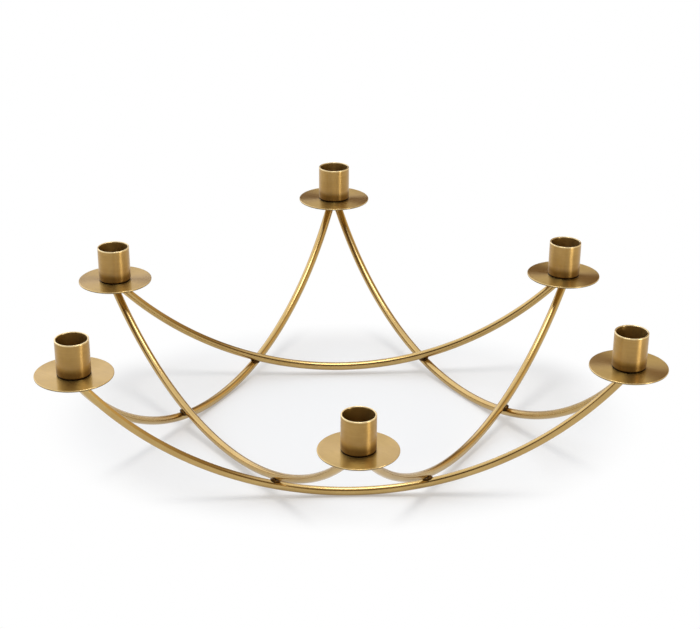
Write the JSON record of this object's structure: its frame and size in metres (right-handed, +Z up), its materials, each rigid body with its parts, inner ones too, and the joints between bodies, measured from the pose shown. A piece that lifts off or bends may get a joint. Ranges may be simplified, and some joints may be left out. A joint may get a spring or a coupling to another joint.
{
  "type": "taper candle holder",
  "caption": "Low ring-shaped taper candle holder: bowed round brass rods interlock and carry straight candle cups on flat drip plates.",
  "frame": {"origin": "on the table, in the middle of the holder's overall footprint", "axes": "+Z up; +Y from the low front cup to the high back cup, along the longest extent; +X to the right seen from the front"},
  "size_m": [0.4582, 0.496, 0.1309],
  "materials": {
    "cup_brass": "satin",
    "plate_brass": "brushed",
    "rod_brass": "satin",
    "filler_brass": "dark brazed"
  },
  "bodies": {
    "root": {"candle_cup_back": "cup_brass", "candle_cup_back_left": "cup_brass", "candle_cup_back_right": "cup_brass", "candle_cup_front": "cup_brass", "candle_cup_front_left": "cup_brass", "candle_cup_front_right": "cup_brass", "drip_plate_back": "plate_brass", "drip_plate_back_left": "plate_brass", "drip_plate_back_right": "plate_brass", "drip_plate_front": "plate_brass", "drip_plate_front_left": "plate_brass", "drip_plate_front_right": "plate_brass", "long_rod_front": "rod_brass", "long_rod_left": "rod_brass", "long_rod_right": "rod_brass", "short_rod_back": "rod_brass", "short_rod_left": "rod_brass", "short_rod_right": "rod_brass", "plate_braze_back": "filler_brass", "plate_braze_back_left": "filler_brass", "plate_braze_back_right": "filler_brass", "plate_braze_front": "filler_brass", "plate_braze_front_left": "filler_brass", "plate_braze_front_right": "filler_brass", "crossing_braze_back_left": "filler_brass", "crossing_braze_back_right": "filler_brass", "crossing_braze_front_left": "filler_brass", "crossing_braze_front_right": "filler_brass", "crossing_braze_left": "filler_brass", "crossing_braze_right": "filler_brass"}
  },
  "joints": []
}
